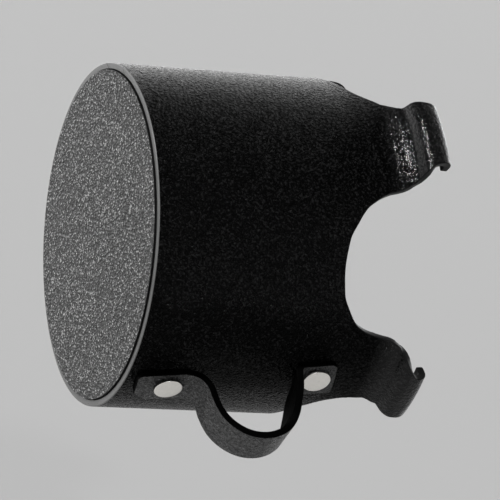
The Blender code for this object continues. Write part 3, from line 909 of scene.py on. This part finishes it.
def build_hook_skin(name, kind, sign, reach, mats):
    points = [(x * MM, shell_mid_r(x * MM), 0) for x in (-17, -16, -15, -14.2, -13.4, -12.6)]
    points += [(x * MM, r * MM, 0) for x, r in HOOK_PROFILE]
    path = [p for p in arc_path(points, spacing=0.3 * MM)]
    # start exactly at the split
    k = next(i for i, p in enumerate(path) if p.x > SPLIT_X + 0.05 * MM)
    path = [Vector((SPLIT_X, shell_mid_r(SPLIT_X), 0))] + path[k:]
    mids, norms = [], []
    for i, p in enumerate(path):
        a, b = path[max(i - 1, 0)], path[min(i + 1, len(path) - 1)]
        ra = a.y + reach * smoothstep((a.x - CREASE_X) / (9.5 * MM))
        rb = b.y + reach * smoothstep((b.x - CREASE_X) / (9.5 * MM))
        r = p.y + reach * smoothstep((p.x - CREASE_X) / (9.5 * MM))
        t = Vector((b.x - a.x, rb - ra)).normalized()
        mids.append((p.x, r))
        norms.append((-t.y, t.x))
    h = 0.05 * MM
    slope = (shell_mid_r(SPLIT_X + h) - shell_mid_r(SPLIT_X - h)) / (2 * h)
    m = math.sqrt(1 + slope * slope)
    norms[0] = (-slope / m, 1 / m)
    half = SHEET / 2
    verts, faces, slots = [], [], []
    cut_rows = 3
    reach_out = sum(
        math.hypot(mids[i + 1][0] - mids[i][0], mids[i + 1][1] - mids[i][1]) for i in range(len(mids) - 1 - cut_rows, len(mids) - 1)
    )
    mids, norms = mids[:-cut_rows], norms[:-cut_rows]
    rows = len(mids)

    def at(i, angle, off, back=0.0):
        (x, r), (nx, nr) = mids[i], norms[i]
        # back: this much short of the lip's end, along the path
        if back:
            tx, tr = nr, -nx
            x, r = x - tx * back, r - tr * back
        return polar(x + nx * off, r + nr * off, angle)

    # cross profile of the rounded side edges: (distance in from the edge, height)
    corner = []
    for k in range(0, 5):
        a = math.pi / 2 * k / 4
        corner.append((EDGE * (1 - math.sin(a)), half - EDGE * (1 - math.cos(a))))
    side = corner + [(0.0, 0.0)] + [(d, -hh) for d, hh in reversed(corner)]
    inner_cols = [hook_fraction(k) for k in range(1, HOOK_COLUMNS - 1)]
    loops = []
    total = rows
    for i in range(rows):
        x = min(mids[i][0], 6 * MM)
        low, high = hook_edges(kind, x)
        radius = mids[i][1]
        loop = []
        # outer surface from low to high, down the high edge, inner surface back, up the low edge
        for d, hh in [side[0]]:
            pass
        to_deg = lambda d: math.degrees(d / radius)
        shrink = 0.0
        ring = []
        for f in inner_cols:
            ring.append((low + (high - low) * f, half, 0))
        for j, (d, hh) in enumerate(side):
            ring.append((high - to_deg(d), hh, 0 if j == 0 else (1 if j == len(side) - 1 else 2)))
        for f in reversed(inner_cols):
            ring.append((low + (high - low) * f, -half, 1))
        for j, (d, hh) in enumerate(reversed(side)):
            ring.append((low + to_deg(d), hh, 1 if j == 0 else (0 if j == len(side) - 1 else 2)))
        loops.append(ring)
    n = len(loops[0])
    lip = []
    for k in range(0, 7):
        a = math.pi / 2 * k / 6
        lip.append((-(reach_out - LIP_EDGE) - LIP_EDGE * math.sin(a), LIP_EDGE * (1 - math.cos(a))))
    # body rows
    for i in range(rows):
        for angle, off, _ in loops[i]:
            verts.append(at(i, angle, off))
    for i in range(rows - 1):
        a, b = i * n, (i + 1) * n
        for j in range(n):
            k = (j + 1) % n
            faces.append((a + j, a + k, b + k, b + j))
            s = {loops[i][j][2], loops[i][k][2]}
            slots.append(2 if 2 in s else (0 if s == {0} else 1))
    # rounded end of the lip
    last = rows - 1
    low, high = hook_edges(kind, min(mids[last][0], 6 * MM))
    middle, half_span = (low + high) / 2, (high - low) / 2
    previous = last * n
    for back, shrink in lip[1:]:
        start = len(verts)
        narrow = 1 - math.degrees(shrink / mids[last][1]) / half_span
        for angle, off, _ in loops[last]:
            verts.append(at(last, middle + (angle - middle) * narrow, off * (half - shrink) / half, back))
        for j in range(n):
            k = (j + 1) % n
            faces.append((previous + j, previous + k, start + k, start + j))
            slots.append(2)
        previous = start
    # caps: quads between the outer and the inner run
    def cap(start, flip):
        m_in = len(inner_cols)
        outer_run = list(range(0, m_in))
        inner_run = list(range(m_in + len(side), m_in + len(side) + m_in))[::-1]
        quads = []
        for j in range(m_in - 1):
            quads.append((outer_run[j], outer_run[j + 1], inner_run[j + 1], inner_run[j]))
        high_side = [outer_run[-1]] + list(range(m_in, m_in + len(side))) + [inner_run[-1]]
        low_side = [inner_run[0]] + list(range(2 * m_in + len(side), n)) + [outer_run[0]]
        quads.append(tuple(high_side))
        quads.append(tuple(low_side))
        for q in quads:
            ids = tuple(start + v for v in q)
            faces.append(ids[::-1] if flip else ids)
            slots.append(2)

    cap(0, True)
    cap(previous, False)
    if sign < 0:
        verts = [Vector((v.x, -v.y, v.z)) for v in verts]
    mesh = bpy.data.meshes.new(name)
    mesh.from_pydata([tuple(v) for v in verts], [], faces)
    for mat in mats:
        mesh.materials.append(mat)
    mesh.polygons.foreach_set("material_index", slots)
    bm = bmesh.new()
    bm.from_mesh(mesh)
    bmesh.ops.recalc_face_normals(bm, faces=bm.faces)
    print(name, len(bm.verts), "points,", sum(1 for e in bm.edges if len(e.link_faces) != 2), "open or shared edges")
    bm.to_mesh(mesh)
    bm.free()
    mesh.shade_smooth()
    mesh.set_sharp_from_angle(angle=math.radians(42))
    return link(bpy.data.objects.new(name, mesh))


def strap_angle(along, r):
    lift = smoothstep((r - STRAP_MID_R) / (15 * MM))
    return (1 - lift) * (HANDLE_ANGLE + HANDLE_SLOPE * along) + lift * LOOP_ANGLE


def build_strap_skin(mats):
    path = arc_path([(a * MM, r * MM, 0) for a, r in STRAP_PATH], spacing=0.45 * MM)
    low, high = path[0].x, path[-1].x
    half_w = STRAP_WIDTH / 2
    half = STRAP_THICK / 2
    edge = 0.22 * MM
    corner = []
    for k in range(0, 5):
        a = math.pi / 2 * k / 4
        corner.append((edge * (1 - math.sin(a)), half - edge * (1 - math.cos(a))))
    side = corner + [(0.0, 0.0)] + [(d, -hh) for d, hh in reversed(corner)]
    columns = 24
    verts, faces, slots = [], [], []
    rows = len(path)
    frames = []
    for i, p in enumerate(path):
        a, b = path[max(i - 1, 0)], path[min(i + 1, rows - 1)]
        t = Vector((b.x - a.x, b.y - a.y)).normalized()
        frames.append((p, t, Vector((-t.y, t.x))))
    n = None

    def station(i, end_back, shrink):
        p, t, nrm = frames[i]
        p = Vector((p.x - t.x * end_back, p.y - t.y * end_back, 0))
        lift = smoothstep((p.y - STRAP_MID_R) / (6 * MM))
        near_cut = max(0.0, REAR_CLIP - (p.x - low)) * 0.95
        far_cut = max(0.0, 1.5 * MM - (p.x - low), 1.5 * MM - (high - p.x)) * 0.8
        near_cut = max(near_cut, max(0.0, 1.0 * MM - (high - p.x)) * 0.8)
        w_near, w_far = half_w - near_cut - shrink, half_w - far_cut - shrink
        angle = strap_angle(p.x, p.y)
        tangent = math.radians(angle)
        side_dir = Vector((0, -math.cos(tangent), -math.sin(tangent)))
        skew = math.radians(-HANDLE_SLOPE * MM * 57.05 * (1 - lift))
        across = Vector((math.sin(skew), 0, 0)) + math.cos(skew) * side_dir
        ring = []

        def place(w, off):
            off *= (half - shrink) / half
            x, r = p.x + nrm.x * off, p.y + nrm.y * off
            straight = polar(HANDLE_X + x, r, angle) + across * w
            bent_angle = angle + math.degrees(math.cos(skew) * w / p.y)
            bent = polar(HANDLE_X + x + math.sin(skew) * w, r, bent_angle)
            return bent.lerp(straight, lift)

        for k in range(1, columns):
            f = k / columns
            ring.append((place(-w_far + (w_near + w_far) * f, half), 0))
        for j, (d, hh) in enumerate(side):
            ring.append((place(w_near - d, hh), 0 if j == 0 else (1 if j == len(side) - 1 else 2)))
        for k in range(columns - 1, 0, -1):
            f = k / columns
            ring.append((place(-w_far + (w_near + w_far) * f, -half), 1))
        for j, (d, hh) in enumerate(reversed(side)):
            ring.append((place(-w_far + d, hh), 1 if j == 0 else (0 if j == len(side) - 1 else 2)))
        return ring

    rings = []
    arcs = []
    for k in range(4, 0, -1):
        a = math.pi / 2 * k / 4
        arcs.append((edge * (1 - math.sin(a)), edge * (1 - math.cos(a))))
    for back, shrink in arcs:
        rings.append((station(0, -back, shrink), True))
    rings.append((station(0, -edge, 0.0), False))
    for i in range(1, rows - 1):
        rings.append((station(i, 0.0, 0.0), False))
    rings.append((station(rows - 1, edge, 0.0), False))
    for back, shrink in reversed(arcs):
        rings.append((station(rows - 1, back, shrink), True))
    n = len(rings[0][0])
    for ring, _ in rings:
        for v, _ in ring:
            verts.append(v)
    for i in range(len(rings) - 1):
        a, b = i * n, (i + 1) * n
        end = rings[i][1] or rings[i + 1][1]
        for j in range(n):
            k = (j + 1) % n
            faces.append((a + j, a + k, b + k, b + j))
            s = {rings[i][0][j][1], rings[i][0][k][1]}
            # slot 1, the inner face, ends and cut edges, takes the near-black material: painted shade
            slots.append(1 if end or s != {0} else 0)
    m_in = columns - 1
    for start in (0, (len(rings) - 1) * n):
        outer_run = list(range(0, m_in))
        inner_run = list(range(m_in + len(side), 2 * m_in + len(side)))[::-1]
        for j in range(m_in - 1):
            faces.append((start + outer_run[j], start + outer_run[j + 1], start + inner_run[j + 1], start + inner_run[j]))
            slots.append(1)
        faces.append(tuple(start + v for v in [outer_run[-1]] + list(range(m_in, m_in + len(side))) + [inner_run[-1]]))
        slots.append(1)
        faces.append(tuple(start + v for v in [inner_run[0]] + list(range(2 * m_in + len(side), n)) + [outer_run[0]]))
        slots.append(1)
    mesh = bpy.data.meshes.new("strap")
    mesh.from_pydata([tuple(v) for v in verts], [], faces)
    for mat in mats:
        mesh.materials.append(mat)
    mesh.polygons.foreach_set("material_index", slots)
    bm = bmesh.new()
    bm.from_mesh(mesh)
    bmesh.ops.recalc_face_normals(bm, faces=bm.faces)
    print("strap", len(bm.verts), "points,", sum(1 for e in bm.edges if len(e.link_faces) != 2), "open or shared edges")
    bm.to_mesh(mesh)
    bm.free()
    mesh.shade_smooth()
    mesh.set_sharp_from_angle(angle=math.radians(42))
    return link(bpy.data.objects.new("strap", mesh))


def settle(obj, body, slot, *nodes):
    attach(obj, body)
    if nodes:
        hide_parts(*nodes)
    return obj


def build():
    shell_skin = haircell("haircell_sheet", (0.0001, 0.0001, 0.0001), (0.0100, 0.0100, 0.0102), 0.17, depth=1.6 * MM, shine=0.05, lips=True)
    hook_skin = shell_skin
    inside = haircell("sheet_inside", (0.008, 0.008, 0.008), (0.016, 0.016, 0.016), 0.5, 0.8, 0.06 * MM, 0.4)
    cut = cut_edge_material("sheet_cut_edge", (0.0025, 0.0025, 0.0026), 0.45, 0.2)
    rim = rim_material("sheet_end_edge", (0.135, 0.135, 0.134), 0.32)
    # the strap's sheet is painted lighter at its lowest part: painted floor bounce light
    strap_skin = haircell("strap_sheet", (0.004, 0.004, 0.0041), (0.060, 0.060, 0.0604), 0.27, 0.85, 0.9 * MM, 0.5, painted_floor_bounce=True)
    # near-black with almost no shine on the strap's inner face, ends and cut edges: the sheet's own black edges plus
    # painted shade
    strap_edge_and_painted_shade = cut_edge_material("strap_edge_and_inner_face_painted_shade", (0.0005, 0.0005, 0.0005), 0.5, 0.03)
    disc_skin = disc_material("end_disc_pebble")
    disc_cut = cut_edge_material("end_disc_cut_edge", (0.0015, 0.0015, 0.0016), 0.5, 0.15)
    rivet = metal_material("rivet_plate", (0.99, 0.965, 0.915), 0.34)
    # a dark copy of the rivet metal: painted shade on the heads' side walls and undersides
    rivet_side_painted_shade = metal_material("rivet_side_plate_painted_shade", (0.10, 0.098, 0.095), 0.45)
    foam = foam_material("lining_foam_cells")
    batting = batting_material("absorber_fibres")
    cloth = cloth_material("facing_weave")

    sleeve = build_sleeve([shell_skin, inside, cut])
    # the closed end's edge is lighter: it was trimmed and rubbed down
    sleeve.data.materials.append(rim)
    for poly in sleeve.data.polygons:
        if poly.material_index == 2 and poly.center.x < -90 * MM:
            poly.material_index = 3
    settle(sleeve, "root", "sheet", "shell")

    for name, kind, sign, reach in (
        ("hook_1", "upper", 1, REACH),
        ("hook_2", "lower", 1, -REACH),
        ("hook_3", "lower", -1, -REACH),
        ("hook_4", "upper", -1, REACH),
    ):
        skin = build_hook_skin(name + "_skin", kind, sign, reach, [hook_skin, inside, cut])
        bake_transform(skin)
        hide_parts(name)

    def wobble(x, r, angle):
        if x > END_X:
            return 0.0
        return 0.03 * MM * math.sin(math.radians(angle) * 2 + 1.3) * (r / DISC_R) ** 2

    rings = [0.5 * MM, 4 * MM, 10 * MM, 18 * MM, 26 * MM, 34 * MM, 40 * MM, 45 * MM, 48.5 * MM, 51 * MM, 52.2 * MM, 52.9 * MM]
    disc = closed_disc("end_plate", disc_profile(DISC_FACE_X, DISC_FACE_X + DISC_THICK, DISC_VISIBLE_R, 0.12 * MM, rings), disc_skin, 360, wobble=wobble)
    disc.data.materials.append(disc_cut)
    for poly in disc.data.polygons:
        c = poly.center
        if math.hypot(c.y, c.z + SAG) > DISC_VISIBLE_R - 0.05 * MM or c.x > DISC_FACE_X + 0.5 * DISC_THICK:
            poly.material_index = 1
    settle(disc, "root", "disc", "end_disc")

    strap = build_strap_skin([strap_skin, strap_edge_and_painted_shade])
    settle(strap, "root", "handle", "handle_strap")

    head_low = STRAP_MID_R + STRAP_THICK / 2 + GAP
    washer_high = SHELL_INNER_R - 0.6 * MM
    washer_low = washer_high - 0.8 * MM
    cap_high = washer_low - GAP
    for place, along in (("rear", -RIVET_OFFSET), ("front", RIVET_OFFSET)):
        x = HANDLE_X + along - RIVET_BACK
        angle = HANDLE_ANGLE + HANDLE_SLOPE * along + RIVET_TURN
        R = RIVET_HEAD_R
        top = head_low + RIVET_HEAD_THICK
        profile = [(washer_low, 0.05 * MM), (washer_low, 1.7 * MM), (washer_low + 0.3 * MM, 2.0 * MM), (head_low - 0.05 * MM, 2.0 * MM)]
        profile += [(head_low, 2.3 * MM), (head_low, R - 0.25 * MM), (head_low + 0.12 * MM, R - 0.05 * MM), (head_low + 0.3 * MM, R)]
        for k in range(0, 5):
            a = math.pi / 2 * k / 4
            profile.append((top - 0.22 * MM + 0.22 * MM * math.sin(a), R - 0.22 * MM + 0.22 * MM * math.cos(a)))
        profile += [(top + 0.02 * MM, R - 0.6 * MM), (top + 0.03 * MM, R - 1.4 * MM), (top + 0.03 * MM, R - 3.0 * MM), (top + 0.03 * MM, 0.05 * MM)]
        piece = radial_lathe("rivet_" + place, profile, x, angle, rivet, 96)
        # the head's side wall and underside take the dark copy of the metal: painted shade
        piece.data.materials.append(rivet_side_painted_shade)
        m = radial_frame(x, angle).inverted()
        for poly in piece.data.polygons:
            c = m @ poly.center
            if c.z < top - 0.16 * MM and math.hypot(c.x, c.y) > 2.1 * MM:
                poly.material_index = 1
        settle(piece, "root", "rivet", "handle_rivet_" + place)
        ring = rounded([(washer_low, 2.4 * MM), (washer_low, 5.5 * MM), (washer_high, 5.5 * MM), (washer_high, 2.4 * MM)], 0.2 * MM, 3)
        piece = radial_lathe("washer_" + place, ring, x, angle, rivet, 64, closed=True)
        settle(piece, "root", "rivet", "rivet_washer_" + place)
        low = cap_high - 1.2 * MM
        profile = [(low, 0.05 * MM), (low, 1.5 * MM), (low + 0.06 * MM, 2.6 * MM), (low + 0.25 * MM, 3.6 * MM), (low + 0.5 * MM, 4.2 * MM)]
        profile += [(low + 0.75 * MM, 4.5 * MM), (cap_high - 0.1 * MM, 4.5 * MM), (cap_high, 4.35 * MM), (cap_high, 0.05 * MM)]
        piece = radial_lathe("back_cap_" + place, profile, x, angle, rivet, 64)
        settle(piece, "root", "rivet", "rivet_back_cap_" + place)

    behind = END_X - DISC_PROUD + DISC_THICK + GAP
    liner_r = SHELL_INNER_R - GAP
    hoop_end = behind + 4.7 * MM
    hoop = ring_profile("seat_hoop", rounded([(behind, liner_r), (hoop_end, liner_r), (hoop_end, liner_r - SHEET), (behind, liner_r - SHEET)], 0.3 * MM), inside)
    settle(hoop, "root", "sheet", "end_seat_hoop")
    strip_start = hoop_end + GAP
    strip_half = math.degrees(SEAM_STRIP_WIDTH / 2 / liner_r)
    strip = ring_profile(
        "seam_backing",
        rounded([(strip_start, liner_r), (LINING_END_X + 2 * MM, liner_r), (LINING_END_X + 2 * MM, liner_r - 1.5 * MM), (strip_start, liner_r - 1.5 * MM)], 0.3 * MM),
        inside, segments=24, degrees=2 * strip_half, start=SEAM_ANGLE - strip_half,
    )
    settle(strip, "root", "sheet", "seam_strip")
    lining = build_lining(strip_start, liner_r, strip_half + 1.2, foam)
    settle(lining, "root", "foam", "lining_sleeve")

    rings = [0.5 * MM] + [k * 3 * MM for k in range(1, 15)] + [44.2 * MM]

    def felt(x, r, angle):
        if x < -80 * MM:
            return 0.0
        a = math.radians(angle)
        inner = smoothstep((RETAINER_INNER_R - r) / (9 * MM))
        return -inner * MM * (0.35 + 0.2 * math.sin(2 * a + 0.7) * r / PAD_R + 0.15 * math.sin(5 * a) * r / PAD_R)

    pad = closed_disc("batting", disc_profile(behind, PAD_END_X, PAD_R, 1.0 * MM, rings), batting, 144, wobble=felt)
    settle(pad, "root", "batting", "absorber_pad")
    x0 = PAD_END_X + GAP
    facing = closed_disc("facing", disc_profile(x0, x0 + 0.9 * MM, PAD_R, 0.3 * MM, rings), cloth, 144)
    settle(facing, "root", "cloth", "pad_facing")
    ring_x = PAD_END_X + 2 * GAP + 0.9 * MM
    keeper = ring_profile("keeper_ring", rounded([(ring_x, PAD_R), (ring_x + 2 * MM, PAD_R), (ring_x + 2 * MM, RETAINER_INNER_R), (ring_x, RETAINER_INNER_R)], 0.4 * MM), inside)
    settle(keeper, "root", "sheet", "retaining_ring")


def build_lining(strip_start, liner_r, free, foam):
    """Foam sheet round the inside wall, with a soft, slightly wavy face."""
    span = 360 - 2 * free
    segments = 260
    rows = 40
    length = LINING_END_X - strip_start
    rx = HANDLE_X - RIVET_OFFSET - RIVET_BACK
    ra = HANDLE_ANGLE - HANDLE_SLOPE * RIVET_OFFSET + RIVET_TURN
    verts, faces = [], []
    soft = 1.2 * MM
    profile = []
    for k in range(rows + 1):
        profile.append((strip_start + length * k / rows, liner_r, 0))
    for k in range(1, 6):
        a = math.pi / 2 * k / 6
        profile.append((LINING_END_X - soft * (1 - math.cos(a - math.pi / 2 + math.pi / 2)) * 0, liner_r - LINING_THICK * k / 6 * 0.7, 0))
    for k in range(0, 7):
        a = math.pi / 2 * k / 6
        profile.append((LINING_END_X - soft + soft * math.cos(a), liner_r - LINING_THICK + soft - soft * math.sin(a), 0))
    for k in range(rows, -1, -1):
        x = strip_start + (length - soft * 1.2) * k / rows
        profile.append((x, liner_r - LINING_THICK, 1))
    n = len(profile)
    for k in range(segments + 1):
        angle = SEAM_ANGLE + free + span * k / segments
        for x, r, soft_face in profile:
            if soft_face:
                a = math.radians(angle)
                r += 0.18 * MM * math.sin(7 * a + x * 90) + 0.12 * MM * math.sin(13 * a - x * 160)
                away = math.hypot(x - rx, (angle - ra + 180) % 360 * math.pi / 180 * liner_r - math.pi * liner_r)
                if away < 7.2 * MM:
                    r += (LINING_THICK - 1.0 * MM) * smoothstep((7.2 * MM - away) / (1.6 * MM)) * 0
            verts.append(polar(x, r, angle))
    for k in range(segments):
        a, b = k * n, (k + 1) * n
        for j in range(n):
            faces.append((a + j, a + (j + 1) % n, b + (j + 1) % n, b + j))
    faces.append(tuple(range(n)))
    faces.append(tuple(reversed([segments * n + j for j in range(n)])))
    return mesh_object("lining", verts, faces, foam, recalc=True)


# ---------------------------------------------------------------- stage, light, camera


def floor():
    mat = bpy.data.materials.new("floor_paper")
    mat.use_nodes = True
    shader = mat.node_tree.nodes["Principled BSDF"]
    shader.inputs["Base Color"].default_value = (0.475, 0.475, 0.475, 1.0)
    shader.inputs["Roughness"].default_value = 0.9
    shader.inputs["Specular IOR Level"].default_value = 0.2
    z = FLOOR_Z
    obj = mesh_object("floor", [(-30, -30, z), (30, -30, z), (30, 30, z), (-30, 30, z)], [(0, 1, 2, 3)], mat)


FLOOR_Z = CAD_BOX[0][2] - 0.11


def camera():
    az, el, roll = map(math.radians, (-21.923, 5.782, 5.597))
    target = Vector((-39.91 * MM, 0.0, -4.07 * MM))
    back = Vector((math.sin(az) * math.cos(el), -math.cos(az) * math.cos(el), math.sin(el)))
    right0 = Vector((math.cos(az), math.sin(az), 0))
    up0 = back.cross(right0)
    right = math.cos(roll) * right0 + math.sin(roll) * up0
    up = -math.sin(roll) * right0 + math.cos(roll) * up0
    cam = link(bpy.data.objects.new("camera", bpy.data.cameras.new("camera")))
    cam.data.sensor_width = 36
    cam.data.lens = 3627.14 / 500 * 36
    cam.data.clip_start = 0.01
    cam.data.clip_end = 100
    m = Matrix((right, up, back)).transposed().to_4x4()
    m.translation = target + back * 1.19086
    cam.matrix_world = m
    bpy.context.scene.camera = cam


def area(name, location, toward, size, power, colour=(1, 1, 1)):
    data = bpy.data.lights.new(name, "AREA")
    data.shape = "RECTANGLE"
    data.size, data.size_y = size
    data.energy = power
    data.color = colour
    obj = link(bpy.data.objects.new(name, data))
    obj.location = location
    obj.rotation_euler = (Vector(toward) - Vector(location)).to_track_quat("-Z", "Y").to_euler()
    return obj


def light():
    """A pale sweep behind and above, a soft overhead lamp a little to the left, and nothing bright in front."""
    world = bpy.data.worlds.new("studio")
    bpy.context.scene.world = world
    world.use_nodes = True
    tree = world.node_tree
    background = tree.nodes["Background"]
    place = tree.nodes.new("ShaderNodeTexCoord")
    split = tree.nodes.new("ShaderNodeSeparateXYZ")
    tree.links.new(place.outputs["Generated"], split.inputs["Vector"])

    def span(source, low, high, to_low, to_high):
        node = tree.nodes.new("ShaderNodeMapRange")
        node.interpolation_type = "SMOOTHSTEP"
        tree.links.new(source, node.inputs["Value"])
        for key, v in (("From Min", low), ("From Max", high), ("To Min", to_low), ("To Max", to_high)):
            if isinstance(v, bpy.types.NodeSocket):
                tree.links.new(v, node.inputs[key])
            else:
                node.inputs[key].default_value = v
        return node.outputs["Result"]

    high_back = span(split.outputs["Z"], 0.22, 0.72, BACK_LOW, BACK_HIGH)
    high_front = span(split.outputs["Z"], 0.35, 0.95, FRONT_LOW, FRONT_HIGH)
    glow = span(split.outputs["Y"], -0.35, 0.35, high_front, high_back)
    tree.links.new(glow, background.inputs["Color"])
    background.inputs["Strength"].default_value = 1.0
    lamp = bpy.data.lights.new("overhead", "SUN")
    lamp.angle = math.radians(SUN_ANGLE)
    lamp.energy = SUN_POWER
    obj = link(bpy.data.objects.new("overhead", lamp))
    obj.rotation_euler = Vector(SUN_FROM).to_track_quat("Z", "Y").to_euler()
    glint = bpy.data.lights.new("glint", "SUN")
    glint.angle = math.radians(2.5)
    glint.energy = 0.45
    obj = link(bpy.data.objects.new("glint", glint))
    obj.rotation_euler = Vector((-0.17, -0.88, 0.31)).to_track_quat("Z", "Y").to_euler()
    bpy.context.scene.view_settings.view_transform = "Standard"


BACK_LOW, BACK_HIGH = 2.2, 0.08
FRONT_LOW, FRONT_HIGH = 0.005, 0.22
SUN_ANGLE, SUN_POWER, SUN_FROM = 4, 2.45, (-0.50, -0.26, 0.83)


build()
floor()
camera()
light()

bpy.context.view_layer.update()
